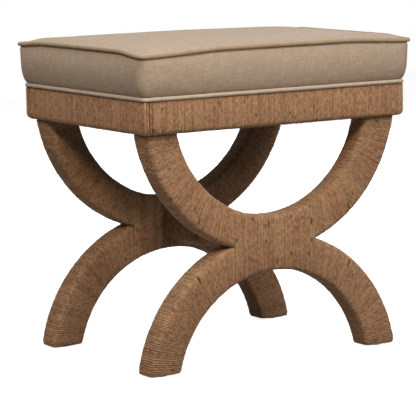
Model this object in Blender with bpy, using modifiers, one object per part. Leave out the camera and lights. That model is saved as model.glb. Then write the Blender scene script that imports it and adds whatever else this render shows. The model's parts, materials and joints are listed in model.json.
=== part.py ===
"""Cord-wrapped stool: two X-shaped leg frames, a wrapped apron and a piped box cushion.

Metres, +Z up. The origin is on the floor under the middle of the seat, +X runs along the
seat's length and the front is towards -Y. Left and right are as seen from the front.
"""

import math

import bmesh
import bpy
from mathutils import Vector

# Gap between pieces that touch, and between soft pieces
FIT = 0.0003
SOFT_FIT = 0.0006

# Wound cord: its thickness over the wood, and that of the prouder binding at the waist
CORD = 0.003
BINDING = 0.0034

# Apron: its size over the cord, then its bare rails
APRON_LENGTH = 0.482
APRON_DEPTH = 0.361
RAIL_HEIGHT = 0.045
RAIL_THICKNESS = 0.022
RAIL_TOP_EDGE = 0.002
RAIL_BOTTOM_EDGE = 0.005

# Leg frames: bare arcs, and how they stand under the apron
FRAME_HEIGHT = 0.3665
ARM_WIDTH = 0.0485
ARM_THICKNESS = 0.033
ARM_EDGE = 0.002
ARM_INSET = 0.0123
FRAME_LAP = 0.0128
WAIST_HEIGHT = 0.0785
FOOT_SKIRT = 0.0015

# Stretcher between the waists, bare
STRETCHER_HEIGHT = 0.0414
STRETCHER_WIDTH = 0.030

# Dowels: two upright ones in each waist, two level ones at each end of the stretcher
WAIST_DOWEL = 0.010
WAIST_DOWEL_LENGTH = 0.044
WAIST_DOWEL_SPACING = 0.060
STRETCHER_DOWEL = 0.008
STRETCHER_DOWEL_IN_ARC = 0.020
STRETCHER_DOWEL_IN_RAIL = 0.025
STRETCHER_DOWEL_SPACING = 0.026

# Corner blocks, the bolts that hold the arms and the screws that hold the seat board
BLOCK_WIDTH = 0.034
BLOCK_MARGIN = 0.010
BOLT = 0.006
BOLT_HEAD = 0.010
BOLT_HEAD_HEIGHT = 0.006
BOLT_HEAD_SINK = 0.002
BOLT_GRIP = 0.045
SCREW = 0.004
SCREW_HEAD = 0.008
SCREW_HEAD_HEIGHT = 0.0025
SCREW_COVER = 0.003
SCREW_CLEARANCE = 0.003

# Nail-on glides under the feet, with a margin of wood round each disc
GLIDE_MARGIN = 0.004
GLIDE_THICKNESS = 0.003
GLIDE_STEM = 0.003
GLIDE_STEM_LENGTH = 0.014

# Seat: board, dust cover, and the box cushion with its two piped seams
BOARD_THICKNESS = 0.012
DUST_COVER = 0.001
COVER = 0.0012
PIPING = 0.0065
LOWER_PIPING_PROUD = 0.0027
LOWER_SEAM_RADIUS = 0.005
CUSHION_HEIGHT = 0.0725
SIDE_BULGE = 0.003
SEAM_OVERHANG = 0.0054
SEAM_RADIUS = 0.008
DRAW_IN = 0.003
CROWN = 0.006
CROWN_REACH = 0.075
CORNER_DROP = 0.004
DROP_REACH = 0.070

# Facets: steps of an arc and of round corners, and loops of the cushion as shares of the
# crown's reach, of the boxing's height and of the foam's height
ARC_STEPS = 20
ARC_SPARE = math.radians(6)
CORNER_STEPS = 2
SEAM_CORNER_STEPS = 3
SIDE_POINTS = 6
ROUND_STEPS = 12
TOP_SHARES = (0.2, 0.4, 0.7, 1.0)
SIDE_SHARES = (0.0, 0.2, 0.5, 0.8, 1.0)
FOAM_SHARES = (0.3, 0.6, 0.85)
SMOOTH_ANGLE = math.radians(35)
MERGE_DISTANCE = 0.00001

# Colour, roughness and metallic value of each material
FINISHES = {
    "cord": ((0.32, 0.19, 0.11), 0.80, 0.0),
    "wood": ((0.50, 0.34, 0.20), 0.60, 0.0),
    "linen": ((0.42, 0.33, 0.25), 0.90, 0.0),
    "piping": ((0.52, 0.44, 0.35), 0.85, 0.0),
    "foam": ((0.80, 0.76, 0.62), 0.95, 0.0),
    "dust_cloth": ((0.05, 0.05, 0.05), 0.95, 0.0),
    "steel": ((0.55, 0.55, 0.56), 0.35, 1.0),
    "nylon": ((0.20, 0.14, 0.09), 0.50, 0.0),
}

# Heights of the assembly
WRAP = FIT + CORD
GLIDE = ARM_THICKNESS - 2 * GLIDE_MARGIN
FRAME_BOTTOM = GLIDE_THICKNESS + FIT
FRAME_TOP = FRAME_BOTTOM + FRAME_HEIGHT
WAIST_Z = (FRAME_BOTTOM + FRAME_TOP) / 2
APRON_BOTTOM = FRAME_TOP + FIT
APRON_TOP = APRON_BOTTOM + RAIL_HEIGHT + 2 * WRAP
BOARD_BOTTOM = APRON_TOP + FIT
BOARD_TOP = BOARD_BOTTOM + BOARD_THICKNESS
SEAM_Z = APRON_TOP + CUSHION_HEIGHT
BOXING_BOTTOM = BOARD_BOTTOM + PIPING + SOFT_FIT
BOXING_TOP = SEAM_Z - PIPING / 2 - SOFT_FIT
BOXING_BOTTOM_PROUD = LOWER_PIPING_PROUD - COVER

# Inner faces of the wrapped apron, from the middle of the seat
RAIL_INNER_X = APRON_LENGTH / 2 - RAIL_THICKNESS - 2 * WRAP
RAIL_INNER_Y = APRON_DEPTH / 2 - RAIL_THICKNESS - 2 * WRAP

# Each bare arc is a ring about a centre above its waist. Its outer circle ends under the
# apron's end and its inner circle leaves half the waist's height.
HALF_FRAME = FRAME_HEIGHT / 2
ARM_OUTER_X = APRON_LENGTH / 2 - ARM_INSET
ARC_CHORD = HALF_FRAME + ARM_WIDTH - WAIST_HEIGHT / 2
OUTER_RADIUS = (ARM_OUTER_X**2 + ARC_CHORD**2) / (2 * ARC_CHORD)
INNER_RADIUS = OUTER_RADIUS - ARM_WIDTH
ARC_RADIUS = OUTER_RADIUS - ARM_WIDTH / 2
ARC_CENTRE = INNER_RADIUS + WAIST_HEIGHT / 2
ARC_REACH = math.acos((ARC_CENTRE - HALF_FRAME) / (OUTER_RADIUS + WRAP)) + ARC_SPARE
ARM_INNER_X = math.sqrt(INNER_RADIUS**2 - (ARC_CENTRE - HALF_FRAME) ** 2)
FOOT_X = (ARM_INNER_X + ARM_OUTER_X) / 2

# The wrapped outer circles of the two arcs meet here, where the waist binding ends
NOTCH_X = math.sqrt((OUTER_RADIUS + WRAP) ** 2 - ARC_CENTRE**2)
BINDING_END = NOTCH_X + FIT
ARM_WRAP_START = BINDING_END + FIT

# Distance of each frame's middle plane from the middle of the seat
FRAME_Y = RAIL_INNER_Y + FRAME_LAP - ARM_THICKNESS / 2
STRETCHER_HALF = FRAME_Y - ARM_THICKNESS / 2 - FIT - BINDING - FIT

# Fastener positions in the right-hand back corner
BOLT_X = (ARM_INNER_X + RAIL_INNER_X) / 2
BOLT_Y = (FRAME_Y - ARM_THICKNESS / 2 + RAIL_INNER_Y) / 2
SCREW_X = ARM_INNER_X - WRAP - SCREW_CLEARANCE - SCREW_HEAD / 2
SCREW_Y = RAIL_INNER_Y - FIT - BLOCK_WIDTH / 2
BLOCK_INNER_X = SCREW_X - BLOCK_MARGIN
BLOCK_INNER_Y = RAIL_INNER_Y - FIT - BLOCK_WIDTH

# Half sizes of the two seams, to the middle of the piping
LOWER_SEAM_X = APRON_LENGTH / 2 + LOWER_PIPING_PROUD - PIPING / 2
LOWER_SEAM_Y = APRON_DEPTH / 2 + LOWER_PIPING_PROUD - PIPING / 2
UPPER_SEAM_X = APRON_LENGTH / 2 + SEAM_OVERHANG
UPPER_SEAM_Y = APRON_DEPTH / 2 + SEAM_OVERHANG

SIDES = {"left": -1, "right": 1}
ENDS = {"front": -1, "back": 1}


# Scene and materials

for old in list(bpy.data.objects):
    bpy.data.objects.remove(old)

parts = bpy.data.collections.new("cord_wrapped_stool")
cutters = bpy.data.collections.new("cutters")
cutters.hide_render = True
bpy.context.scene.collection.children.link(parts)
bpy.context.scene.collection.children.link(cutters)


def make_material(name, colour, roughness, metallic):
    material = bpy.data.materials.new(name)
    material.use_nodes = True
    shader = material.node_tree.nodes["Principled BSDF"]
    shader.inputs["Base Color"].default_value = (*colour, 1.0)
    shader.inputs["Roughness"].default_value = roughness
    shader.inputs["Metallic"].default_value = metallic
    return material


materials = {name: make_material(name, *finish) for name, finish in FINISHES.items()}


def place(name, data, finish, parent=None):
    """A new object among the parts, at its parent's origin."""
    item = bpy.data.objects.new(name, data)
    data.materials.append(materials[finish])
    item.parent = parent
    parts.objects.link(item)
    return item


def shaded(name, bm, finish, parent=None):
    """An object from a bmesh, shaded smooth away from its edges."""
    mesh = bpy.data.meshes.new(name)
    bm.to_mesh(mesh)
    bm.free()
    mesh.shade_smooth()
    mesh.set_sharp_from_angle(angle=SMOOTH_ANGLE)
    return place(name, mesh, finish, parent)


def solid(name, bm, finish, parent=None):
    """An object from a closed bmesh, facing out."""
    bmesh.ops.recalc_face_normals(bm, faces=bm.faces[:])
    return shaded(name, bm, finish, parent)


# Modelling helpers

def rounded_rectangle(width, height, radii, steps=CORNER_STEPS):
    """Corner arcs of a rectangle, anticlockwise from the lower right, one radius for each."""
    corners = []
    for turn, (sx, sy) in enumerate(((1, -1), (1, 1), (-1, 1), (-1, -1))):
        radius = radii[turn]
        middle = Vector((sx * (width / 2 - radius), sy * (height / 2 - radius)))
        arc = []
        for step in range(steps + 1):
            angle = math.pi / 2 * (turn - 1 + step / steps)
            arc.append(middle + radius * Vector((math.cos(angle), math.sin(angle))))
        corners.append(arc)
    return corners


def section(width, height, radii, grow=0.0):
    """The points of a rounded rectangle, all of it set out by grow."""
    grown = [radius + grow for radius in radii]
    arcs = rounded_rectangle(width + 2 * grow, height + 2 * grow, grown)
    return [point for arc in arcs for point in arc]


def ring(bm, points):
    """A closed loop of edges through the points."""
    verts = [bm.verts.new(point) for point in points]
    return [bm.edges.new(pair) for pair in zip(verts, verts[1:] + verts[:1])]


def loft(bm, loops):
    """Bridges each loop of points to the next one, and gives back the loops of edges."""
    rings = [ring(bm, points) for points in loops]
    for first, second in zip(rings, rings[1:]):
        bmesh.ops.bridge_loops(bm, edges=first + second)
    return rings


def cut(bm, point, normal):
    """Removes what lies past a plane, and gives back the edges along the cut."""
    geometry = bm.verts[:] + bm.edges[:] + bm.faces[:]
    found = bmesh.ops.bisect_plane(
        bm, geom=geometry, plane_co=point, plane_no=normal, clear_outer=True
    )
    return [item for item in found["geom_cut"] if isinstance(item, bmesh.types.BMEdge)]


def cap(bm, edges):
    """Fills flat loops, leaving the inside of an inner loop open."""
    bmesh.ops.triangle_fill(bm, use_beauty=True, edges=edges)


def turned(name, profile, finish):
    """A solid turned about Z from (radius, height) points that run from top to bottom."""
    mesh = bpy.data.meshes.new(name)
    edges = [(i, i + 1) for i in range(len(profile) - 1)]
    mesh.from_pydata([(radius, 0, height) for radius, height in profile], edges, [])
    item = place(name, mesh, finish)
    screw = item.modifiers.new("turn", "SCREW")
    screw.steps = ROUND_STEPS
    screw.render_steps = ROUND_STEPS
    screw.use_merge_vertices = True
    screw.merge_threshold = MERGE_DISTANCE
    return item


def rod(bm, start, end, diameter):
    """A capped cylinder from start to end."""
    start = Vector(start)
    run = Vector(end) - start
    made = bmesh.ops.create_cone(
        bm,
        cap_ends=True,
        segments=ROUND_STEPS,
        radius1=diameter / 2,
        radius2=diameter / 2,
        depth=run.length,
    )
    turn = Vector((0, 0, 1)).rotation_difference(run).to_matrix()
    bmesh.ops.rotate(bm, verts=made["verts"], matrix=turn)
    bmesh.ops.translate(bm, verts=made["verts"], vec=start + run / 2)


def drill(name, start, end, diameter, targets, parent=None):
    """Cuts a round hole, with its clearance, out of each target."""
    bm = bmesh.new()
    rod(bm, start, end, diameter + 2 * FIT)
    mesh = bpy.data.meshes.new(name + "_hole")
    bm.to_mesh(mesh)
    bm.free()
    cutter = bpy.data.objects.new(name + "_hole", mesh)
    cutter.parent = parent
    cutter.display_type = "WIRE"
    cutter.hide_render = True
    cutters.objects.link(cutter)
    for target in targets:
        boolean = target.modifiers.new(name, "BOOLEAN")
        boolean.operation = "DIFFERENCE"
        boolean.object = cutter


def dowel(name, start, end, diameter, targets, parent=None):
    """A wooden pin from start to end, and its holes."""
    bm = bmesh.new()
    rod(bm, start, end, diameter)
    slack = FIT * (Vector(end) - Vector(start)).normalized()
    drill(name, Vector(start) - slack, Vector(end) + slack, diameter, targets, parent)
    return solid(name, bm, "wood", parent)


# Leg frames, each in the space of an empty at the middle of its waist

ARM_RADII = [ARM_EDGE] * 4


def arc_loops(grow, first_step):
    """Sections of an arm round its arc, from a step of the sweep to its far end."""
    outline = section(ARM_WIDTH, ARM_THICKNESS, ARM_RADII, grow)
    loops = []
    for step in range(first_step, ARC_STEPS + 1):
        angle = ARC_REACH * (2 * step / ARC_STEPS - 1)
        out = Vector((math.sin(angle), 0, -math.cos(angle)))
        middle = Vector((0, 0, ARC_CENTRE)) + ARC_RADIUS * out
        loops.append([middle + point.x * out + Vector((0, point.y, 0)) for point in outline])
    return loops


def make_arc(name, parent):
    """A sawn U, flat where it meets its twin and flat at both tops."""
    bm = bmesh.new()
    loft(bm, arc_loops(0.0, 0))
    cap(bm, cut(bm, (0, 0, HALF_FRAME), (0, 0, 1)))
    cap(bm, cut(bm, (0, 0, FIT / 2), (0, 0, -1)))
    return solid(name, bm, "wood", parent)


def make_arm_wrap(name, top, parent):
    """The cord sleeve on the right-hand arm of an arc, from the binding to the arm's top."""
    bm = bmesh.new()
    first_step = ARC_STEPS // 2
    loft(bm, arc_loops(WRAP, first_step))
    loft(bm, arc_loops(FIT, first_step))
    cap(bm, cut(bm, (0, 0, top), (0, 0, 1)))
    cap(bm, cut(bm, (ARM_WRAP_START, 0, 0), (-1, 0, 0)))
    return solid(name, bm, "cord", parent)


def waist_loops(grow):
    """Upright sections round the waist, at the corners of the arcs' inner facets."""
    loops = []
    facet = 2 * ARC_REACH / ARC_STEPS
    count = math.ceil(math.asin(BINDING_END / INNER_RADIUS) / facet) + 1
    for step in range(-count, count + 1):
        x = INNER_RADIUS * math.sin(step * facet)
        height = ARC_CENTRE - math.sqrt(INNER_RADIUS**2 - x**2)
        outline = section(ARM_THICKNESS, 2 * height, ARM_RADII, grow)
        loops.append([(x, point.x, point.y) for point in outline])
    return loops


def make_binding(name, parent):
    """The sleeve of upright cords between the two notches."""
    bm = bmesh.new()
    loft(bm, waist_loops(FIT + BINDING))
    loft(bm, waist_loops(FIT))
    for side in SIDES.values():
        cap(bm, cut(bm, (side * BINDING_END, 0, 0), (side, 0, 0)))
    return solid(name, bm, "cord", parent)


arcs = {}
bindings = {}
for end, end_sign in ENDS.items():
    frame = bpy.data.objects.new(end + "_frame", None)
    frame.location = (0, end_sign * FRAME_Y, WAIST_Z)
    frame.rotation_euler = (0, 0, 0 if end == "front" else math.pi)
    parts.objects.link(frame)
    for level, flip, top in (
        ("upper", 0, HALF_FRAME),
        ("lower", math.pi, HALF_FRAME + FOOT_SKIRT),
    ):
        arc = make_arc(f"{end}_{level}_arc", frame)
        arc.rotation_euler = (0, flip, 0)
        arcs[end, level] = arc
        for side, side_sign in SIDES.items():
            # The sleeve is made for the right-hand upper arm, and turned to its own arm
            wrap = make_arm_wrap(f"{end}_{level}_{side}_wrap", top, frame)
            right_of_frame = side_sign * (1 if end == "front" else -1)
            turn_z = math.pi if (right_of_frame < 0) != (level == "lower") else 0
            wrap.rotation_euler = (0, flip, turn_z)
    bindings[end] = make_binding(f"{end}_waist_binding", frame)
    for side, side_sign in SIDES.items():
        x = side_sign * WAIST_DOWEL_SPACING / 2 * (1 if end == "front" else -1)
        dowel(
            f"{end}_waist_dowel_{side}",
            (x, 0, -WAIST_DOWEL_LENGTH / 2),
            (x, 0, WAIST_DOWEL_LENGTH / 2),
            WAIST_DOWEL,
            [arcs[end, "upper"], arcs[end, "lower"]],
            frame,
        )


# Stretcher and its dowels

def stretcher_loops(grow):
    """The stretcher's section at its two ends."""
    outline = section(STRETCHER_WIDTH, STRETCHER_HEIGHT, ARM_RADII, grow)
    return [
        [(point.x, y, WAIST_Z + point.y) for point in outline]
        for y in (-STRETCHER_HALF, STRETCHER_HALF)
    ]


bm = bmesh.new()
for loop in loft(bm, stretcher_loops(0.0)):
    cap(bm, loop)
stretcher = solid("stretcher", bm, "wood")

bm = bmesh.new()
outer = loft(bm, stretcher_loops(WRAP))
inner = loft(bm, stretcher_loops(FIT))
for outer_loop, inner_loop in zip(outer, inner):
    cap(bm, outer_loop + inner_loop)
solid("stretcher_wrap", bm, "cord")

for end, end_sign in ENDS.items():
    for level, level_sign in (("upper", 1), ("lower", -1)):
        z = WAIST_Z + level_sign * STRETCHER_DOWEL_SPACING / 2
        into_arc = FRAME_Y - ARM_THICKNESS / 2 + STRETCHER_DOWEL_IN_ARC
        into_rail = STRETCHER_HALF - STRETCHER_DOWEL_IN_RAIL
        dowel(
            f"stretcher_dowel_{end}_{level}",
            (0, end_sign * into_rail, z),
            (0, end_sign * into_arc, z),
            STRETCHER_DOWEL,
            [stretcher, bindings[end], arcs[end, level]],
        )


# Apron rails and their wraps, mitred at the corners

RAIL_RADII = [RAIL_BOTTOM_EDGE, RAIL_TOP_EDGE, RAIL_TOP_EDGE, RAIL_BOTTOM_EDGE]


def rail_loops(length, span, grow):
    """Sections of a front rail, past both its ends; span is the apron's size across it."""
    outline = section(RAIL_THICKNESS, RAIL_HEIGHT, RAIL_RADII, grow)
    middle_y = -span / 2 + WRAP + RAIL_THICKNESS / 2
    middle_z = (APRON_BOTTOM + APRON_TOP) / 2
    return [
        [(x, middle_y + point.x, middle_z + point.y) for point in outline]
        for x in (-length / 2, length / 2)
    ]


def mitre(bm, length, span, side):
    """Cuts one end of a rail at 45 degrees through the apron's corner."""
    corner = (side * (length / 2 - FIT), -span / 2, 0)
    return cut(bm, corner, (side, 1, 0))


def make_rail(name, length, span, turn):
    """A rail and its cord sleeve, made at the front and turned to their side."""
    bm = bmesh.new()
    loft(bm, rail_loops(length, span, 0.0))
    for side in SIDES.values():
        cap(bm, mitre(bm, length, span, side))
    solid("apron_rail_" + name, bm, "wood").rotation_euler.z = turn
    bm = bmesh.new()
    loft(bm, rail_loops(length, span, WRAP))
    loft(bm, rail_loops(length, span, FIT))
    for side in SIDES.values():
        cap(bm, mitre(bm, length, span, side))
    solid("apron_wrap_" + name, bm, "cord").rotation_euler.z = turn


make_rail("front", APRON_LENGTH, APRON_DEPTH, 0)
make_rail("right", APRON_DEPTH, APRON_LENGTH, math.pi / 2)
make_rail("back", APRON_LENGTH, APRON_DEPTH, math.pi)
make_rail("left", APRON_DEPTH, APRON_LENGTH, -math.pi / 2)


# Seat board on the rails, inside the lower piping

board_inset = PIPING / 2 + FIT
board_outline = section(
    2 * (LOWER_SEAM_X - board_inset),
    2 * (LOWER_SEAM_Y - board_inset),
    [LOWER_SEAM_RADIUS - board_inset] * 4,
)
bm = bmesh.new()
for loop in loft(bm, [[(p.x, p.y, z) for p in board_outline] for z in (BOARD_BOTTOM, BOARD_TOP)]):
    cap(bm, loop)
board = solid("seat_board", bm, "wood")


# Corner blocks, leg bolts, seat screws and foot glides, one of each at every corner

def make_block(name, sx, sy):
    """A block in the angle of two rails, from the arm's top to the seat board."""
    bm = bmesh.new()
    bmesh.ops.create_cube(bm, size=1.0)
    low = Vector((BLOCK_INNER_X, BLOCK_INNER_Y, APRON_BOTTOM))
    high = Vector((RAIL_INNER_X - FIT, RAIL_INNER_Y - FIT, APRON_TOP))
    bmesh.ops.scale(bm, verts=bm.verts[:], vec=high - low)
    middle = (low + high) / 2
    bmesh.ops.translate(bm, verts=bm.verts[:], vec=(sx * middle.x, sy * middle.y, middle.z))
    return solid(name, bm, "wood")


for end, sy in ENDS.items():
    for side, sx in SIDES.items():
        corner = f"{end}_{side}"
        block = make_block("corner_block_" + corner, sx, sy)

        # Bolt: its head sunk in the block, its shank down into the arm
        x, y = sx * BOLT_X, sy * BOLT_Y
        head_top = APRON_TOP - BOLT_HEAD_SINK
        head_bottom = head_top - BOLT_HEAD_HEIGHT
        tip = FRAME_TOP - BOLT_GRIP
        profile = [
            (0, head_top),
            (BOLT_HEAD / 2, head_top),
            (BOLT_HEAD / 2, head_bottom),
            (BOLT / 2, head_bottom),
            (BOLT / 2, tip),
            (0, tip),
        ]
        turned("leg_bolt_" + corner, profile, "steel").location = (x, y, 0)
        shank_hole = ((x, y, tip - FIT), (x, y, head_top))
        drill("leg_bolt_" + corner, *shank_hole, BOLT, [block, arcs[end, "upper"]])
        head_hole = ((x, y, head_bottom - FIT), (x, y, APRON_TOP + BOLT_HEAD_SINK))
        drill("bolt_head_" + corner, *head_hole, BOLT_HEAD, [block])

        # Screw: its head under the block, its point in the seat board
        x, y = sx * SCREW_X, sy * SCREW_Y
        head_top = APRON_BOTTOM - FIT
        tip = BOARD_TOP - SCREW_COVER
        profile = [
            (0, tip),
            (SCREW / 2, tip - SCREW / 2),
            (SCREW / 2, head_top),
            (SCREW_HEAD / 2, head_top),
            (SCREW_HEAD / 2, head_top - SCREW_HEAD_HEIGHT),
            (0, head_top - SCREW_HEAD_HEIGHT),
        ]
        turned("seat_screw_" + corner, profile, "steel").location = (x, y, 0)
        screw_hole = ((x, y, head_top - FIT), (x, y, tip + FIT))
        drill("seat_screw_" + corner, *screw_hole, SCREW, [block, board])

        # Glide: a disc inside the foot's wrap, with a stem up into the arm
        x, y = sx * FOOT_X, sy * FRAME_Y
        tip = GLIDE_THICKNESS + GLIDE_STEM_LENGTH
        profile = [
            (0, tip),
            (GLIDE_STEM / 2, tip - GLIDE_STEM / 2),
            (GLIDE_STEM / 2, GLIDE_THICKNESS),
            (GLIDE / 2, GLIDE_THICKNESS),
            (GLIDE / 2, GLIDE_THICKNESS / 3),
            (GLIDE / 2 - GLIDE_THICKNESS / 3, 0),
            (0, 0),
        ]
        turned("foot_glide_" + corner, profile, "nylon").location = (x, y, 0)
        stem_hole = ((x, y, 0), (x, y, tip + FIT))
        drill("foot_glide_" + corner, *stem_hole, GLIDE_STEM, [arcs[end, "lower"]])


# Dust cover under the seat board, cut out round the corner blocks

def dust_outline():
    """A rectangle with a square notch at each corner, anticlockwise."""
    far_x, far_y = RAIL_INNER_X - FIT, RAIL_INNER_Y - FIT
    near_x, near_y = BLOCK_INNER_X - FIT, BLOCK_INNER_Y - FIT
    steps = ((far_x, near_y), (near_x, near_y), (near_x, far_y))
    points = []
    for sx, sy, order in ((1, 1, 1), (-1, 1, -1), (-1, -1, 1), (1, -1, -1)):
        points += [(sx * x, sy * y) for x, y in steps[::order]]
    return points


outline = bpy.data.curves.new("dust_cover", "CURVE")
outline.dimensions = "2D"
outline.fill_mode = "BOTH"
outline.extrude = DUST_COVER / 2
spline = outline.splines.new("POLY")
corners = dust_outline()
spline.points.add(len(corners) - 1)
for point, (x, y) in zip(spline.points, corners):
    point.co = (x, y, 0, 1)
spline.use_cyclic_u = True
place("dust_cover", outline, "dust_cloth").location.z = BOARD_BOTTOM - FIT - DUST_COVER / 2


# Box cushion: every piece follows the same seam outlines

def seam_outline(half_x, half_y, radius, draw):
    """A rounded rectangle whose sides are drawn in at their middles, closer at the corners."""
    arcs_round = rounded_rectangle(2 * half_x, 2 * half_y, [radius] * 4, SEAM_CORNER_STEPS)
    points = []
    for arc, following in zip(arcs_round, arcs_round[1:] + arcs_round[:1]):
        points += arc
        start, run = arc[-1], following[0] - arc[-1]
        inward = Vector((-run.y, run.x)).normalized()
        for step in range(1, SIDE_POINTS + 1):
            share = (1 - math.cos(math.pi * step / (SIDE_POINTS + 1))) / 2
            points.append(start + share * run + 4 * share * (1 - share) * draw * inward)
    return points


def corner_drop(point):
    """How far the cushion's edge sinks towards its nearest corner."""
    reach = math.hypot(abs(point.x) - UPPER_SEAM_X, abs(point.y) - UPPER_SEAM_Y)
    return CORNER_DROP * max(0.0, 1 - reach / DROP_REACH) ** 2


def top_loop(inset, below):
    """A loop of the crowned top at a distance in from the seam, lowered by below."""
    half_x, half_y = UPPER_SEAM_X - inset, UPPER_SEAM_Y - inset
    radius = SEAM_RADIUS * half_y / UPPER_SEAM_Y
    rise = CROWN * (1 - (1 - min(1.0, inset / CROWN_REACH)) ** 3)
    outline = seam_outline(half_x, half_y, radius, DRAW_IN)
    return [(p.x, p.y, SEAM_Z + rise - below - corner_drop(p)) for p in outline]


def side_loop(share, inset):
    """A loop of the boxing at a share of its height, set in from its outer face."""
    ease = 1 - (1 - share) ** 3
    proud = BOXING_BOTTOM_PROUD + (SEAM_OVERHANG - BOXING_BOTTOM_PROUD) * ease
    proud += SIDE_BULGE * math.sin(math.pi * share) - inset
    half_x, half_y = APRON_LENGTH / 2 + proud, APRON_DEPTH / 2 + proud
    radius = LOWER_SEAM_RADIUS + (SEAM_RADIUS - LOWER_SEAM_RADIUS) * share
    outline = seam_outline(half_x, half_y, radius, DRAW_IN * share)
    height = BOXING_BOTTOM + (BOXING_TOP - BOXING_BOTTOM) * share
    return [(p.x, p.y, height - share * corner_drop(p)) for p in outline]


def cover(name, bm):
    """An open cover, turned to face away from the foam and thickened inwards."""
    bmesh.ops.recalc_face_normals(bm, faces=bm.faces[:])
    inside = Vector((0, 0, BOARD_TOP))
    if sum((face.calc_center_median() - inside).dot(face.normal) for face in bm.faces) < 0:
        bmesh.ops.reverse_faces(bm, faces=bm.faces[:])
    shell = shaded(name, bm, "linen").modifiers.new("thickness", "SOLIDIFY")
    shell.thickness = COVER
    shell.offset = -1


top_insets = [CROWN_REACH * share for share in TOP_SHARES]
panel_edge = PIPING / 2 + SOFT_FIT
bm = bmesh.new()
cap(bm, loft(bm, [top_loop(inset, 0.0) for inset in [panel_edge] + top_insets])[-1])
cover("seat_top_panel", bm)

bm = bmesh.new()
loft(bm, [side_loop(share, 0.0) for share in SIDE_SHARES])
cover("seat_boxing", bm)

# Foam: flat on the board, then just inside the boxing and the top panel
set_in = COVER + SOFT_FIT
foam_z = BOARD_TOP + SOFT_FIT
foam_start = (foam_z - BOXING_BOTTOM) / (BOXING_TOP - BOXING_BOTTOM)
foam_loops = [[(x, y, foam_z) for x, y, z in side_loop(foam_start, set_in)]]
foam_loops += [side_loop(foam_start + (1 - foam_start) * step, set_in) for step in FOAM_SHARES]
foam_loops += [top_loop(inset, set_in) for inset in [panel_edge + set_in] + top_insets]
bm = bmesh.new()
foam_rings = loft(bm, foam_loops)
cap(bm, foam_rings[0])
cap(bm, foam_rings[-1])
solid("seat_foam", bm, "foam")


def make_piping(name, points):
    """A closed cord along a seam."""
    curve = bpy.data.curves.new(name, "CURVE")
    curve.dimensions = "3D"
    curve.bevel_depth = PIPING / 2
    curve.bevel_resolution = 1
    spline = curve.splines.new("POLY")
    spline.points.add(len(points) - 1)
    for point, place_of in zip(spline.points, points):
        point.co = (*place_of, 1)
    spline.use_cyclic_u = True
    return place(name, curve, "piping")


make_piping("upper_piping", top_loop(0.0, 0.0))
lower_seam = seam_outline(LOWER_SEAM_X, LOWER_SEAM_Y, LOWER_SEAM_RADIUS, 0.0)
make_piping("lower_piping", [(p.x, p.y, BOARD_BOTTOM + PIPING / 2) for p in lower_seam])
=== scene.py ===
"""Looks of a low stool: crossed leg frames and an apron bound in cord, under a piped linen cushion.

Metres, +Z up, the front towards -Y. Left and right are as seen from the front.
"""

import json
import math

import bmesh
import bpy
from mathutils import Matrix, Vector

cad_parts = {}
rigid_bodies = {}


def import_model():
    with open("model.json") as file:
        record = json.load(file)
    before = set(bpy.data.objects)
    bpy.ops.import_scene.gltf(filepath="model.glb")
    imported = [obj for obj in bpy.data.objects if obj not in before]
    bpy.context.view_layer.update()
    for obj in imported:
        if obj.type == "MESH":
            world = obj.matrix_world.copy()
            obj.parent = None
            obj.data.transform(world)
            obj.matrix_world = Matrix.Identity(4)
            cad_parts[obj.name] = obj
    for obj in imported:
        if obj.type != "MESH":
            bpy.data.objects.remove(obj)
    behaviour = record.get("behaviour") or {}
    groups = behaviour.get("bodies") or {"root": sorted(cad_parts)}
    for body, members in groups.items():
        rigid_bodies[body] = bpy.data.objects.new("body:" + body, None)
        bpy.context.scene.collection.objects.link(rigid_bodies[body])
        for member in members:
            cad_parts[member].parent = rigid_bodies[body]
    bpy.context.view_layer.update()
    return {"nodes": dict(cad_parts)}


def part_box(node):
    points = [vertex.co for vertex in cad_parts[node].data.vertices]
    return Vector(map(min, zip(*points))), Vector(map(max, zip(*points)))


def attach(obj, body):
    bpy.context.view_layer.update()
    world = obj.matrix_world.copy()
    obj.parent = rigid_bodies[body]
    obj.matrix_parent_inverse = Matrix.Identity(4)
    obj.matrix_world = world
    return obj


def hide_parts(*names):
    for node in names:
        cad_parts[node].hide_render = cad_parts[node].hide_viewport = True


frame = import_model()


# Wooden frames, stretcher, rails, corner blocks and seat board
# The crossed frames and rails are sawn from hardwood and doweled, and the board is plywood.
# Cord and cloth cover nearly all of it, so it shows only under the feet and inside the apron.

# The pale and the dark of each wood, and its pores and rings to the metre
HARDWOOD = ((0.27, 0.165, 0.09, 1), (0.15, 0.085, 0.045, 1))
PLYWOOD = ((0.60, 0.44, 0.28, 1), (0.46, 0.31, 0.18, 1))
PORES_ACROSS = 900.0
PORES_ALONG = 14.0
PORE_SHARE = 0.45
PORE_DEPTH = 0.0003
RINGS_ACROSS = 90.0
RINGS_ALONG = 4.0


def add(tree, kind, inputs=None, **settings):
    """A new node in a tree, with its settings, and its inputs set or linked."""
    node = tree.nodes.new(kind)
    for name, value in settings.items():
        setattr(node, name, value)
    for key, value in (inputs or {}).items():
        if isinstance(value, bpy.types.NodeSocket):
            tree.links.new(value, node.inputs[key])
        else:
            node.inputs[key].default_value = value
    return node


def calc(tree, operation, *values):
    """The result of a Math node."""
    return add(tree, "ShaderNodeMath", dict(enumerate(values)), operation=operation).outputs[0]


def mixed(tree, factor, first, second, blend_type="MIX"):
    """One colour mixed into another."""
    inputs = {0: factor, 6: first, 7: second}
    return add(tree, "ShaderNodeMix", inputs, data_type="RGBA", blend_type=blend_type).outputs[2]


def ranged(tree, value, low, high, to_low=0.0, to_high=1.0):
    """A value brought from one range to another, and kept inside it."""
    return add(tree, "ShaderNodeMapRange", {0: value, 1: low, 2: high, 3: to_low, 4: to_high}).outputs[0]


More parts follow.
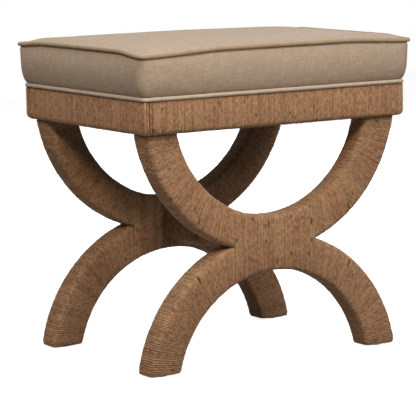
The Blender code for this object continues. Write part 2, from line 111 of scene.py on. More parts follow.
def blended(tree, share, first, second):
    """A value that is one value by a share, and another by the rest."""
    return calc(tree, "MULTIPLY_ADD", first, share, calc(tree, "MULTIPLY", second, 1 - share))


def cloudy(tree, vector, counts, detail=2.0):
    """A noise with these counts of clouds to a unit of each axis."""
    placed = add(tree, "ShaderNodeMapping", {"Vector": vector, "Scale": counts}, vector_type="POINT")
    inputs = {"Vector": placed.outputs[0], "Scale": 1.0, "Detail": detail}
    return add(tree, "ShaderNodeTexNoise", inputs).outputs[0]


def new_material(name, **values):
    """A material, its tree and its shader, with the values that are the same all over."""
    material = bpy.data.materials.new(name)
    material.use_nodes = True
    shader = material.node_tree.nodes["Principled BSDF"]
    for socket, value in values.items():
        shader.inputs[socket.replace("_", " ")].default_value = value
    return material, material.node_tree, shader


def add_bump(tree, shader, height, distance, strength=1.0):
    """Raises a surface by a height from 0 to 1, over a distance."""
    bump = add(tree, "ShaderNodeBump", {"Strength": strength, "Distance": distance, "Height": height})
    tree.links.new(bump.outputs[0], shader.inputs["Normal"])


def make_wood(name, along, pale, dark):
    """Bare wood with its grain along one axis."""
    material, tree, shader = new_material(name, Specular_IOR_Level=0.35)
    place = add(tree, "ShaderNodeTexCoord").outputs["Object"]
    pore_counts = [PORES_ACROSS] * 3
    ring_counts = [RINGS_ACROSS] * 3
    pore_counts["xyz".index(along)] = PORES_ALONG
    ring_counts["xyz".index(along)] = RINGS_ALONG
    pores = cloudy(tree, place, pore_counts, 3.0)
    grain = blended(tree, PORE_SHARE, pores, cloudy(tree, place, ring_counts))
    tree.links.new(mixed(tree, ranged(tree, grain, 0.35, 0.65), dark, pale), shader.inputs["Base Color"])
    tree.links.new(ranged(tree, pores, 0.3, 0.7, 0.72, 0.5), shader.inputs["Roughness"])
    add_bump(tree, shader, pores, PORE_DEPTH, 0.5)
    return material


def dress(material, *names):
    """Gives frame nodes a finish."""
    for name in names:
        for place in frame["nodes"][name].material_slots:
            place.material = material


ENDS = {"front": -1, "back": 1}
SIDES = {"left": -1, "right": 1}
LEVELS = {"lower": -1, "upper": 1}
corners = [f"{end}_{side}" for end in ENDS for side in SIDES]
wood_along = {axis: make_wood("hardwood_along_" + axis, axis, *HARDWOOD) for axis in "xyz"}
for end in ENDS:
    dress(wood_along["x"], "apron_rail_" + end, *(f"{end}_{level}_arc" for level in LEVELS))
    dress(wood_along["z"], *(f"{end}_waist_dowel_{side}" for side in SIDES))
    dress(wood_along["y"], *(f"stretcher_dowel_{end}_{level}" for level in LEVELS))
dress(wood_along["y"], "stretcher", *("apron_rail_" + side for side in SIDES))
dress(wood_along["z"], *("corner_block_" + corner for corner in corners))
dress(make_wood("plywood", "x", *PLYWOOD), "seat_board")


# Leg bolts and seat screws
# Zinc-plated steel: a bolt runs down through each corner block into its arm, and a screw goes up
# through it into the seat board. The plating is bright, with faint turning marks round the heads.

DULL_ZINC = (0.42, 0.42, 0.41, 1)
BRIGHT_ZINC = (0.66, 0.66, 0.63, 1)
BLOOM = 700.0
TURNING = (300.0, 300.0, 4000.0)
TURNING_DEPTH = 0.0001

zinc, tree, shader = new_material("zinc_plate", Metallic=1.0)
place = add(tree, "ShaderNodeTexCoord").outputs["Object"]
bloom = cloudy(tree, place, (BLOOM,) * 3, 3.0)
tree.links.new(mixed(tree, bloom, DULL_ZINC, BRIGHT_ZINC), shader.inputs["Base Color"])
tree.links.new(ranged(tree, bloom, 0.3, 0.7, 0.25, 0.5), shader.inputs["Roughness"])
add_bump(tree, shader, cloudy(tree, place, TURNING), TURNING_DEPTH, 0.4)
dress(zinc, *(f"{kind}_{corner}" for kind in ("leg_bolt", "seat_screw") for corner in corners))


# Foot glides
# Moulded brown nylon discs nailed into the end of each leg, inside the cord, to carry the weight.
# Their faces are matt, with the scuffs of being pushed about.

BROWN_NYLON = (0.13, 0.085, 0.05, 1)
SCUFFED_NYLON = (0.24, 0.17, 0.11, 1)
SCUFFS = (260.0, 900.0, 400.0)
SCUFF_DEPTH = 0.0002

nylon, tree, shader = new_material("nylon", Specular_IOR_Level=0.4)
place = add(tree, "ShaderNodeTexCoord").outputs["Object"]
scuffs = cloudy(tree, place, SCUFFS, 4.0)
colour = mixed(tree, ranged(tree, scuffs, 0.5, 0.7), BROWN_NYLON, SCUFFED_NYLON)
tree.links.new(colour, shader.inputs["Base Color"])
tree.links.new(ranged(tree, scuffs, 0.35, 0.7, 0.38, 0.68), shader.inputs["Roughness"])
add_bump(tree, shader, scuffs, SCUFF_DEPTH, 0.3)
dress(nylon, *("foot_glide_" + corner for corner in corners))


# Cord
# One soft natural-fibre cord, about three millimetres thick, is wound turn against turn round every
# wooden member. It is golden brown and uneven from turn to turn, with dark knots and flecks, and
# painted shade makes it a little darker towards the feet.

# The cord's size, the points on a turn, and how far its turns stray, alone and with their neighbours
CORD = 0.0031
CORD_SIDES = 6
CORNER_POINTS = 4
FIT = 0.0003
WANDER = 0.00025
WANDER_LENGTH = 0.014
BEND = 3.0

# Its colours, in patches over many turns, streaks along a turn, and flecks
STRAW = (0.585, 0.392, 0.238, 1)
NUT = (0.190, 0.099, 0.053, 1)
GOLD = (0.400, 0.262, 0.143, 1)
RUSSET = (0.350, 0.183, 0.110, 1)
KNOT = (0.080, 0.040, 0.022, 1)
PATCH = 0.045
STREAK = 0.007
STREAKS_A_TURN = 1.6
TONE_SHARE = 0.15
SHADE = 0.52
FLECK_LENGTH = 0.016
FLECK_TURNS = 1.8
FLECK_DARK = 0.85

# Its two strands, twisted by radians to the metre, with some slack, the fibres in them, and the painted
# shade in the groove between them
TWIST = 650.0
SLACK = 8.0
SLACK_LENGTH = 0.02
SLACK_A_TURN = 0.7
FIBRES_ALONG = 120.0
FIBRES_ACROSS = 4.0
FIBRE_SHARE = 0.4
GRAIN = 0.003
GRAINED = 0.28
STRAND_GROOVE_SHADE = 0.5
STRAND_DEPTH = 0.0007

# Its painted shade, darker up to a height above the floor
LOW_SHADE_HEIGHT = 0.2
LOW_SHADE = 0.2

cord_finish, tree, shader = new_material("wound_cord", Specular_IOR_Level=0.2)
place = add(tree, "ShaderNodeTexCoord").outputs["Object"]
tone = add(tree, "ShaderNodeAttribute", attribute_name="tone").outputs["Fac"]
along = add(tree, "ShaderNodeAttribute", attribute_name="along").outputs["Fac"]
turn = add(tree, "ShaderNodeAttribute", attribute_name="turn").outputs["Fac"]
ring = add(tree, "ShaderNodeAttribute", attribute_name="ring").outputs["Vector"]
lie = add(tree, "ShaderNodeCombineXYZ", {0: along, 1: turn}).outputs[0]
patches = cloudy(tree, place, (1 / PATCH,) * 3)
colour = mixed(tree, ranged(tree, patches, 0.31, 0.69), GOLD, RUSSET)
shade = blended(tree, TONE_SHARE, tone, cloudy(tree, lie, (1 / STREAK, STREAKS_A_TURN, 1)))
colour = mixed(tree, SHADE, colour, mixed(tree, ranged(tree, shade, 0.36, 0.64), NUT, STRAW))
flecks = cloudy(tree, lie, (1 / FLECK_LENGTH, 1 / FLECK_TURNS, 1), 1.0)
colour = mixed(tree, ranged(tree, flecks, 0.68, 0.74, 0.0, FLECK_DARK), colour, KNOT)
slack = calc(tree, "MULTIPLY", cloudy(tree, lie, (1 / SLACK_LENGTH, SLACK_A_TURN, 1)), SLACK)
twist = calc(tree, "MULTIPLY_ADD", along, TWIST, slack)
spun = add(
    tree, "ShaderNodeVectorRotate", {"Vector": ring, "Angle": twist}, rotation_type="Z_AXIS"
).outputs[0]
strand = calc(tree, "ABSOLUTE", add(tree, "ShaderNodeSeparateXYZ", {0: spun}).outputs[0])
fibre_run = add(tree, "ShaderNodeCombineXYZ", {2: calc(tree, "MULTIPLY", along, FIBRES_ALONG)}).outputs[0]
fibre_place = add(tree, "ShaderNodeVectorMath", {0: spun, 1: fibre_run}, operation="ADD").outputs[0]
fibres = cloudy(tree, fibre_place, (FIBRES_ACROSS, FIBRES_ACROSS, 1), 3.0)
grain = blended(tree, FIBRE_SHARE, fibres, cloudy(tree, place, (1 / GRAIN,) * 3))
grain_colour = mixed(tree, ranged(tree, grain, 0.35, 0.65), NUT, STRAW)
colour = mixed(tree, GRAINED, colour, grain_colour, "OVERLAY")
# Painted shade: the groove between the two strands is darkened towards the nut colour
colour = mixed(tree, ranged(tree, strand, 0.0, 0.45, STRAND_GROOVE_SHADE, 0.0), colour, NUT)
height = add(tree, "ShaderNodeSeparateXYZ", {0: place}).outputs[2]
# Painted shade: the cord is darkened towards the floor, below a height
colour = mixed(tree, ranged(tree, height, 0.0, LOW_SHADE_HEIGHT, LOW_SHADE, 0.0), colour, KNOT)
tree.links.new(colour, shader.inputs["Base Color"])
tree.links.new(ranged(tree, fibres, 0.3, 0.7, 0.85, 0.65), shader.inputs["Roughness"])
relief = blended(tree, FIBRE_SHARE, fibres, ranged(tree, strand, 0.0, 0.6))
add_bump(tree, shader, relief, STRAND_DEPTH, 0.8)


def make_cord_tree():
    """Geometry nodes that lay a round cord along a path and give each turn its own tone."""
    tree = bpy.data.node_groups.new("laid_cord", "GeometryNodeTree")
    sockets = {}
    for name, kind in (
        ("Path", "Geometry"), ("Thickness", "Float"), ("Sides", "Int"), ("Points Per Turn", "Int"),
        ("Wander", "Float"), ("Wander Length", "Float"), ("Seed", "Int"), ("Finish", "Material"),
    ):
        sockets[name] = tree.interface.new_socket(name, in_out="INPUT", socket_type="NodeSocket" + kind)
    tree.interface.new_socket("Cord", in_out="OUTPUT", socket_type="NodeSocketGeometry")
    given = add(tree, "NodeGroupInput").outputs

    # Each turn lies a little out of true, and bends a little with its neighbours
    index = add(tree, "GeometryNodeInputIndex").outputs[0]
    turn = calc(tree, "FLOOR", calc(tree, "DIVIDE", index, given["Points Per Turn"]))
    wander = given["Wander"]
    back = calc(tree, "MULTIPLY", wander, -1.0)
    jitter = add(
        tree,
        "FunctionNodeRandomValue",
        {
            0: add(tree, "ShaderNodeCombineXYZ", {0: back, 1: back, 2: back}).outputs[0],
            1: add(tree, "ShaderNodeCombineXYZ", {0: wander, 1: wander, 2: wander}).outputs[0],
            "ID": turn,
            "Seed": given["Seed"],
        },
        data_type="FLOAT_VECTOR",
    ).outputs[0]
    bend = add(
        tree,
        "ShaderNodeTexNoise",
        {
            "Vector": add(tree, "GeometryNodeInputPosition").outputs[0],
            "Scale": calc(tree, "DIVIDE", 1.0, given["Wander Length"]),
            "Detail": 1.0,
        },
    ).outputs["Color"]
    middle = (0.5, 0.5, 0.5)
    centred = add(tree, "ShaderNodeVectorMath", {0: bend, 1: middle}, operation="SUBTRACT").outputs[0]
    reach = calc(tree, "MULTIPLY", wander, BEND)
    swing = add(tree, "ShaderNodeVectorMath", {0: centred, "Scale": reach}, operation="SCALE").outputs[0]
    offset = add(tree, "ShaderNodeVectorMath", {0: jitter, 1: swing}, operation="ADD").outputs[0]
    path = add(tree, "GeometryNodeSetPosition", {"Geometry": given["Path"], "Offset": offset}).outputs[0]

    # What the finish reads: the turn, its tone, the length so far and the place round the cord
    tone = add(
        tree, "FunctionNodeRandomValue", {"ID": turn, "Seed": given["Seed"]}, data_type="FLOAT"
    ).outputs[1]
    length = add(tree, "GeometryNodeSplineParameter").outputs["Length"]
    for name, value in (("turn", turn), ("tone", tone), ("along", length)):
        path = add(
            tree, "GeometryNodeStoreNamedAttribute", {"Geometry": path, "Name": name, "Value": value}
        ).outputs[0]
    circle = {"Resolution": given["Sides"], "Radius": 1.0}
    round_shape = add(tree, "GeometryNodeCurvePrimitiveCircle", circle).outputs[0]
    profile = add(
        tree,
        "GeometryNodeStoreNamedAttribute",
        {
            "Geometry": round_shape,
            "Name": "ring",
            "Value": add(tree, "GeometryNodeInputPosition").outputs[0],
        },
        data_type="FLOAT_VECTOR",
    ).outputs[0]
    width = calc(
        tree, "MULTIPLY", add(tree, "GeometryNodeInputRadius").outputs[0],
        calc(tree, "DIVIDE", given["Thickness"], 2.0),
    )
    tube = add(
        tree,
        "GeometryNodeCurveToMesh",
        {"Curve": path, "Profile Curve": profile, "Scale": width, "Fill Caps": True},
    ).outputs[0]
    smooth = add(tree, "GeometryNodeSetShadeSmooth", {"Geometry": tube}).outputs[0]
    real = add(tree, "GeometryNodeRealizeInstances", {"Geometry": smooth}).outputs[0]
    finish = {"Geometry": real, "Material": given["Finish"]}
    add(tree, "NodeGroupOutput", {"Cord": add(tree, "GeometryNodeSetMaterial", finish).outputs[0]})
    return tree, sockets


cord_tree, cord_sockets = make_cord_tree()


def lay_cord(name, points, widths, closed=False, **inputs):
    """A cord along points, as a plain mesh at the origin; widths are shares of its thickness."""
    curve = bpy.data.curves.new(name + "_path", "CURVE")
    curve.dimensions = "3D"
    spline = curve.splines.new("POLY")
    spline.points.add(len(points) - 1)
    for point, place, width in zip(spline.points, points, widths):
        point.co = (*place, 1)
        point.radius = width
    spline.use_cyclic_u = closed
    path = bpy.data.objects.new(name + "_path", curve)
    bpy.context.scene.collection.objects.link(path)
    modifier = path.modifiers.new("cord", "NODES")
    modifier.node_group = cord_tree
    for socket, value in inputs.items():
        modifier[cord_sockets[socket.replace("_", " ")].identifier] = value
    graph = bpy.context.evaluated_depsgraph_get()
    mesh = bpy.data.meshes.new_from_object(path.evaluated_get(graph))
    bpy.data.objects.remove(path)
    piece = bpy.data.objects.new(name, mesh)
    bpy.context.scene.collection.objects.link(piece)
    return piece


def girth(width, height, top_edge, bottom_edge):
    """One turn round a rounded rectangle, as (across, up, share of the turn).

    It starts from the middle of the right side, and the cord crosses to its next turn on that side.
    """
    points = [Vector((width / 2, 0))]
    corner_edges = ((1, 1, top_edge), (-1, 1, top_edge), (-1, -1, bottom_edge), (1, -1, bottom_edge))
    for quarter, (sx, sy, radius) in enumerate(corner_edges):
        middle = Vector((sx * (width / 2 - radius), sy * (height / 2 - radius)))
        for step in range(CORNER_POINTS):
            angle = math.pi / 2 * (quarter + step / (CORNER_POINTS - 1))
            points.append(middle + radius * Vector((math.cos(angle), math.sin(angle))))
        between = (Vector((0, height / 2)), Vector((-width / 2, 0)), Vector((0, -height / 2)))
        points += between[quarter:quarter + 1]
    return [(point.x, point.y, 0.5 if step else 0.0) for step, point in enumerate(points)]


def wind(name, node, turns, outline, place, seed):
    """Winds cord round a member; place gives a point and a width for (across, up, turns so far)."""
    laid = [place(x, y, turn + share) for turn in range(turns) for x, y, share in outline]
    laid.append(place(*outline[0][:2], turns))
    points, widths = zip(*laid)
    piece = lay_cord(
        name,
        points,
        widths,
        Thickness=CORD,
        Sides=CORD_SIDES,
        Points_Per_Turn=len(outline),
        Wander=WANDER,
        Wander_Length=WANDER_LENGTH,
        Seed=seed,
        Finish=cord_finish,
    )
    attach(piece, "root")
    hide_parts(node)


# Cord on the arms
# Each arm of a frame is wound from the waist to its end. The turns stand square to the arm, and
# fan to lie along the upright of the waist and the level of the foot or of the apron.

ARM_WIDTH = 0.0485
ARM_EDGE = 0.005
WADDING = 0.0005
WAIST_HEIGHT = 0.0785
OVER_WOOD = FIT + CORD / 2

# Turns stand a pitch apart and are pressed wider than that, so that they crowd each other
PITCH = 0.003
CROWD = 1.3

# The groove left under the apron, and how the last turns round off a foot and tuck under it
GROOVE = 0.0008
TUCK = 0.0026
FOOT_ROUND = 0.0022
ROUND_TURNS = 2.5
ARM_SEED = 11

arc_low, arc_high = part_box("front_upper_arc")
binding_low, binding_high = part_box("front_waist_binding")
waist_z = (binding_low.z + binding_high.z) / 2
frame_y = (arc_low.y + arc_high.y) / 2
arm_thickness = arc_high.y - arc_low.y
half_frame = arc_high.z - waist_z
chord = half_frame + ARM_WIDTH - WAIST_HEIGHT / 2
outer_radius = (arc_high.x**2 + chord**2) / (2 * chord)
arm_radius = outer_radius - ARM_WIDTH / 2
arc_centre = outer_radius - ARM_WIDTH + WAIST_HEIGHT / 2
arm_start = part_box("front_upper_right_wrap")[0].x
over_arm = OVER_WOOD + WADDING
arm_outline = girth(arm_thickness + 2 * over_arm, ARM_WIDTH + 2 * over_arm, ARM_EDGE, ARM_EDGE)


def arm_angles(radius, end):
    """Where a turn at this radius starts and ends, as angles from straight down."""
    return math.asin(arm_start / radius), math.acos((arc_centre - end) / radius)


for end, end_sign in ENDS.items():
    for level, level_sign in LEVELS.items():
        wrap_low, wrap_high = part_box(f"{end}_{level}_right_wrap")
        reach = max(wrap_high.z - waist_z, waist_z - wrap_low.z)
        arm_end = reach - (GROOVE if level == "upper" else CORD / 2)
        first, last = arm_angles(arm_radius, arm_end)
        arm_turns = round((last - first) * arm_radius / PITCH)
        under_foot = 1 if level == "lower" else 0
        for side, side_sign in SIDES.items():

            def on_arm(inward, outward, turns):
                """A place on a turn round the arm; at a foot the last ones tuck in and close the end."""
                tucked = TUCK * min(1.0, max(0.0, 2 * (turns - arm_turns)))
                if level == "lower":
                    near_end = max(0.0, 1 - (arm_turns - min(turns, arm_turns)) / ROUND_TURNS)
                    tucked += FOOT_ROUND * (1 - math.sqrt(1 - near_end**2))
                radius = arm_radius + outward * (1 - 2 * tucked / ARM_WIDTH)
                start, stop = arm_angles(radius, arm_end)
                angle = start + (stop - start) * min(1.0, max(0.5, turns) / arm_turns)
                x = radius * math.sin(angle)
                y = abs(frame_y) - inward * (1 - 2 * tucked / arm_thickness)
                z = arc_centre - radius * math.cos(angle)
                pitch = (stop - start) * radius / arm_turns
                return (side_sign * x, end_sign * y, waist_z + level_sign * z), CROWD * pitch / CORD

            name = f"{end}_{level}_{side}"
            wind(
                "cord_on_" + name + "_arm", name + "_wrap", arm_turns + under_foot, arm_outline, on_arm,
                ARM_SEED + len(bpy.data.objects),
            )


# Cord round the waists
# Where the two arcs of a frame meet back to back, upright turns bind them together between the
# two notches. They lie a little prouder than the arms and hide the joint.

WAIST_SEED = 31

binding_out = (binding_high.y - binding_low.y - arm_thickness) / 2 - CORD / 2
binding_end = binding_high.x
inner_radius = arm_radius - ARM_WIDTH / 2
waist_outline = girth(arm_thickness + 2 * binding_out, WAIST_HEIGHT + 2 * binding_out, ARM_EDGE, ARM_EDGE)
waist_turns = round(2 * binding_end / PITCH)

for end, end_sign in ENDS.items():

    def round_waist(inward, up, turns):
        """A place on an upright turn, which grows with the arcs on either side of the middle."""
        x = binding_end * (2 * min(max(turns, 0.5), waist_turns - 0.5) / waist_turns - 1)
        grown = arc_centre - math.sqrt(inner_radius**2 - x**2) - WAIST_HEIGHT / 2
        z = up + math.copysign(grown, up) if up else 0.0
        return (x, end_sign * (abs(frame_y) - inward), waist_z + z), CROWD * PITCH / CORD

    wind(
        f"cord_round_{end}_waist", f"{end}_waist_binding", waist_turns, waist_outline, round_waist,
        WAIST_SEED + end_sign,
    )


# Cord on the stretcher
# The stretcher is a straight wooden bar, doweled between the two waists under the seat. The cord is
# wound round it from end to end, so that no wood shows.

STRETCHER_SEED = 41

stretcher_low, stretcher_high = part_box("stretcher")
stretcher_run = stretcher_high.y - stretcher_low.y - CORD
stretcher_turns = round(stretcher_run / PITCH)
stretcher_outline = girth(
    stretcher_high.x - stretcher_low.x + 2 * OVER_WOOD,
    stretcher_high.z - stretcher_low.z + 2 * OVER_WOOD,
    ARM_EDGE,
    ARM_EDGE,
)


def on_stretcher(across, up, turns):
    """A place on a turn round the stretcher."""
    y = stretcher_run * (turns / stretcher_turns - 0.5)
    return (across, y, waist_z + up), CROWD * PITCH / CORD


wind(
    "cord_on_stretcher", "stretcher_wrap", stretcher_turns, stretcher_outline, on_stretcher,
    STRETCHER_SEED,
)


# Cord on the apron
# Each rail of the apron is wound with upright turns. Towards its ends they lean in to the mitre,
# and the first few turns of each rail are looser, as are the last two of the left one.

# Loose turns at the ends of the rails, and how sharply the turns near them lean
LOOSE_FIRST = 3
LOOSE_LAST = {"front": 0, "right": 0, "back": 0, "left": 2}
LOOSE_PITCH = 0.0047
LOOSE_WIDTH = 1.2
LEAN = 5
RAIL_TOP_EDGE = 0.0015
RAIL_BOTTOM_EDGE = 0.0065
RAIL_SEED = 51

for rail, turned in (("front", 0), ("right", 1), ("back", 2), ("left", 3)):
    low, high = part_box("apron_wrap_" + rail)
    size = high - low
    length, depth = (size.x, size.y) if turned % 2 == 0 else (size.y, size.x)
    span = max(high.y, -low.y) if turned % 2 == 0 else max(high.x, -low.x)
    half_length = length / 2 - CORD / 2
    rail_depth = depth - CORD
    rail_outline = girth(rail_depth, size.z - CORD, RAIL_TOP_EDGE, RAIL_BOTTOM_EDGE)
    loose_last = LOOSE_LAST[rail]
    close_run = 2 * half_length - (LOOSE_FIRST + loose_last) * LOOSE_PITCH
    close_turns = round(close_run / PITCH)
    close_pitch = close_run / (close_turns - 1)
    total = LOOSE_FIRST + close_turns + loose_last
    rail_z = (low.z + high.z) / 2
    middle_y = -span + depth / 2
    turn_round = Matrix.Rotation(turned * math.pi / 2, 3, "Z")

    def on_rail(across, up, turns):
        """A place on a turn round the rail, which leans in to the mitre near the rail's ends."""
        laid = min(max(turns - 0.5, 0.0), total - 1.0)
        loose = min(laid, LOOSE_FIRST) + max(0.0, laid - (total - 1 - loose_last))
        x = loose * LOOSE_PITCH + (laid - loose) * close_pitch - half_length
        inward = (across + rail_depth / 2) * abs(x / half_length) ** LEAN
        x -= math.copysign(inward, x)
        spot = turn_round @ Vector((x, middle_y + across, rail_z + up))
        close = LOOSE_FIRST < turns < total - loose_last
        return spot, CROWD * close_pitch / CORD if close else LOOSE_WIDTH

    wind(f"cord_on_{rail}_rail", "apron_wrap_" + rail, total, rail_outline, on_rail, RAIL_SEED + turned)


# Dust cover
# A thin black bonded cloth, tacked up under the seat board to hide it, and cut out round the
# corner blocks. It sags a little between its edges.

SAG = 0.004
DUST_STEPS = 12
DUST_THICKNESS = 0.0005
BLACK = (0.012, 0.012, 0.013, 1)
GREY = (0.05, 0.05, 0.052, 1)
FELT = (1500.0, 400.0, 1500.0)
FELT_DEPTH = 0.0004

black, tree, shader = new_material("dust_cloth", Specular_IOR_Level=0.15, Sheen_Weight=0.2)
place = add(tree, "ShaderNodeTexCoord").outputs["Object"]
felt = cloudy(tree, place, FELT, 3.0)
tree.links.new(mixed(tree, felt, BLACK, GREY), shader.inputs["Base Color"])
tree.links.new(ranged(tree, felt, 0.3, 0.7, 0.95, 0.8), shader.inputs["Roughness"])
add_bump(tree, shader, felt, FELT_DEPTH, 0.5)

dust_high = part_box("dust_cover")[1]
block_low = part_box("corner_block_back_right")[0]
notch_x, notch_y = block_low.x - FIT, block_low.y - FIT
bm = bmesh.new()
bmesh.ops.create_grid(bm, x_segments=4, y_segments=4, size=1.0)

# The grid's lines move to the edges, the notches and the middle, and its corners are cut out
lines_x = (-dust_high.x, -notch_x, 0.0, notch_x, dust_high.x)
lines_y = (-dust_high.y, -notch_y, 0.0, notch_y, dust_high.y)
for vert in bm.verts:
    vert.co.x = lines_x[round(2 * vert.co.x) + 2]
    vert.co.y = lines_y[round(2 * vert.co.y) + 2]
cut_out = [
    face for face in bm.faces
    if abs(face.calc_center_median().x) > notch_x and abs(face.calc_center_median().y) > notch_y
]
bmesh.ops.delete(bm, geom=cut_out, context="FACES")
bmesh.ops.subdivide_edges(bm, edges=bm.edges[:], cuts=DUST_STEPS, use_grid_fill=True)
for vert in bm.verts:
    belly = (1 - (vert.co.x / dust_high.x) ** 2) * (1 - (vert.co.y / dust_high.y) ** 2)
    vert.co.z = dust_high.z - DUST_THICKNESS - SAG * belly
for face in bm.faces:
    face.smooth = True
dust_mesh = bpy.data.meshes.new("dust_sheet")
bm.to_mesh(dust_mesh)
bm.free()
dust_mesh.materials.append(black)
dust = bpy.data.objects.new("dust_sheet", dust_mesh)
bpy.context.scene.collection.objects.link(dust)
thick = dust.modifiers.new("thickness", "SOLIDIFY")
thick.thickness = DUST_THICKNESS
thick.offset = 0
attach(dust, "root")
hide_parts("dust_cover")


# Cushion
# A foam pad in a linen cover, with a boxed side sewn to a top panel. The foam fills the cover, so
# the top is crowned, the sides swell a little and draw in between the corners, which sink.

# The mesh, the corners of the two seams, and how far the sides draw in, swell and crown
CELL = 0.005
SIDE_LOOPS = 16
SEAM_RADIUS = 0.006
SEAM_TUCK = 0.0022
LOWER_RADIUS = 0.005
EAR = 0.002
DRAW_IN = 0.005
BELLY = 0.0060
BELLY_LOW = 0.75
BELLY_RADIUS = 0.012
CROWN = 0.0045
CROWN_REACH = 0.035

# How far the edge sinks at each corner, how far along the edges that reaches, and the pad inside it
DROP = {"front_left": 0.0055, "front_right": 0.0045, "back_left": 0.0042, "back_right": 0.0075}
DROP_X = {"front_left": 0.165, "front_right": 0.130, "back_left": 0.120, "back_right": 0.200}
DROP_Y = {"front_left": 0.080, "front_right": 0.070, "back_left": 0.080, "back_right": 0.100}
PAD_DROP = {"front_left": 0.0, "front_right": -0.001, "back_left": -0.0015, "back_right": 0.004}

# The cover's thickness, its hem behind the lower piping, and the foam's push against it
COVER = 0.0012
HEM = 0.0014
HEM_IN = 0.0025
PRESSURE = 4.0
STRETCH_STIFFNESS = 15
BEND_STIFFNESS = 2
SWELL_FRAMES = 20
SWELL_CAP = 0.0015
TOP_FACING = 0.6

# The linen: its colours, its threads with their slubs and crossings, and the clouds of the dye
OATMEAL = (0.490, 0.377, 0.286, 1)
FLAX = (0.330, 0.245, 0.173, 1)
THREAD = 0.0009
ALONG_THREAD = 0.07
SLUB_ACROSS = 0.35
SLUB_ALONG = 0.04
THREAD_SHARE = 0.6
CROSSING = 0.3
CLOUD = 0.02
CLOUDED = 0.22
WEAVE_DEPTH = 0.0005
LINEN_SHEEN = 0.05

box_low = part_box("seat_boxing")[0]
foam_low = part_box("seat_foam")[0]
upper_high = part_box("upper_piping")[1]
lower_low, lower_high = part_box("lower_piping")
piping = lower_high.z - lower_low.z
seam_x, seam_y = upper_high.x - piping / 2 + EAR, upper_high.y - piping / 2 + EAR
seam_z = upper_high.z - piping / 2
seat_x, seat_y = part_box("apron_wrap_right")[1].x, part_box("apron_wrap_back")[1].y


def side_point(half, other, radius, draw, share):
    """A point on one side of a rounded rectangle, from mid-corner to mid-corner, side at -other."""
    straight = half - radius
    bend = radius * math.pi / 4
    run = share * (2 * straight + 2 * bend)
    if run < bend:
        angle = -math.pi * 3 / 4 + run / radius
        return Vector((-straight + radius * math.cos(angle), radius - other + radius * math.sin(angle)))
    if run > bend + 2 * straight:
        angle = -math.pi / 2 + (run - bend - 2 * straight) / radius
        return Vector((straight + radius * math.cos(angle), radius - other + radius * math.sin(angle)))
    part = (run - bend) / (2 * straight)
    return Vector((run - bend - straight, -other + 4 * part * (1 - part) * draw))


def seam_outline(half_x, half_y, radius, draw, count_x, count_y):
    """A closed outline, anticlockwise from the front left, with a set count along each side."""
    points = []
    for quarter, count in enumerate((count_x, count_y, count_x, count_y)):
        half, other = (half_x, half_y) if quarter % 2 == 0 else (half_y, half_x)
        turn = Matrix.Rotation(quarter * math.pi / 2, 2)
        points += [turn @ side_point(half, other, radius, draw, step / count) for step in range(count)]
    return points


def corner_drop(point, drops=DROP):
    """How far the cushion sinks towards its nearest corner: its edge, or with other drops its pad."""
    corner = ("back_" if point.y > 0 else "front_") + ("right" if point.x > 0 else "left")
    along_x = (seam_x - abs(point.x)) / DROP_X[corner]
    along_y = (seam_y - abs(point.y)) / DROP_Y[corner]
    return drops[corner] * (1 + math.cos(math.pi * min(1.0, math.hypot(along_x, along_y)))) / 2


def filled(outline, count_x, count_y):
    """A grid of points inside an outline, as rows from the front, blended from its four sides."""
    front = outline[:count_x + 1]
    right = outline[count_x:count_x + count_y + 1]
    back = outline[count_x + count_y:2 * count_x + count_y + 1][::-1]
    left = (outline[2 * count_x + count_y:] + outline[:1])[::-1]
    rows = []
    for j in range(count_y + 1):
        v = j / count_y
        row = []
        for i in range(count_x + 1):
            u = i / count_x
            across = left[j] * (1 - u) + right[j] * u
            along = front[i] * (1 - v) + back[i] * v
            front_flat = front[0] * (1 - u) + front[-1] * u
            back_flat = back[0] * (1 - u) + back[-1] * u
            row.append(across + along - (front_flat * (1 - v) + back_flat * v))
        rows.append(row)
    return rows


count_x, count_y = round(2 * seam_x / CELL), round(2 * seam_y / CELL)
box_top, box_bottom = seam_z - piping / 3, box_low.z - HEM
lower_out = lower_high.x - seat_x - HEM_IN
bm = bmesh.new()


def add_ring(points):
    """A loop of new points in the cushion's mesh."""
    return [bm.verts.new(point) for point in points]


def add_band(lower, upper):
    """Faces between two loops."""
    for i in range(len(lower)):
        k = (i + 1) % len(lower)
        bm.faces.new((lower[i], lower[k], upper[k], upper[i]))


def add_panel(ring, rows, upward):
    """Faces across a ring, whose verts are the grid's border."""
    grid = [[None] * (count_x + 1) for row in rows]
    for i in range(count_x):
        grid[0][i] = ring[i]
        grid[count_y][count_x - i] = ring[count_x + count_y + i]
    for j in range(count_y):
        grid[j][count_x] = ring[count_x + j]
        grid[count_y - j][0] = ring[2 * count_x + count_y + j]
    for j in range(1, count_y):
        for i in range(1, count_x):
            grid[j][i] = bm.verts.new(rows[j][i])
    for j in range(count_y):
        for i in range(count_x):
            face = (grid[j][i], grid[j][i + 1], grid[j + 1][i + 1], grid[j + 1][i])
            bm.faces.new(face if upward else face[::-1])


def crowned(point):
    """A point of the top panel, raised by the foam under it."""
    rise_x = 1 - min(1.0, max(0.0, 1 - (seam_x - abs(point.x)) / CROWN_REACH)) ** 2
    rise_y = 1 - min(1.0, max(0.0, 1 - (seam_y - abs(point.y)) / CROWN_REACH)) ** 2
    rise = rise_x * rise_y
    sunk = corner_drop(point) * (1 - rise) + corner_drop(point, PAD_DROP) * rise
    return Vector((point.x, point.y, seam_z + CROWN * rise - sunk))


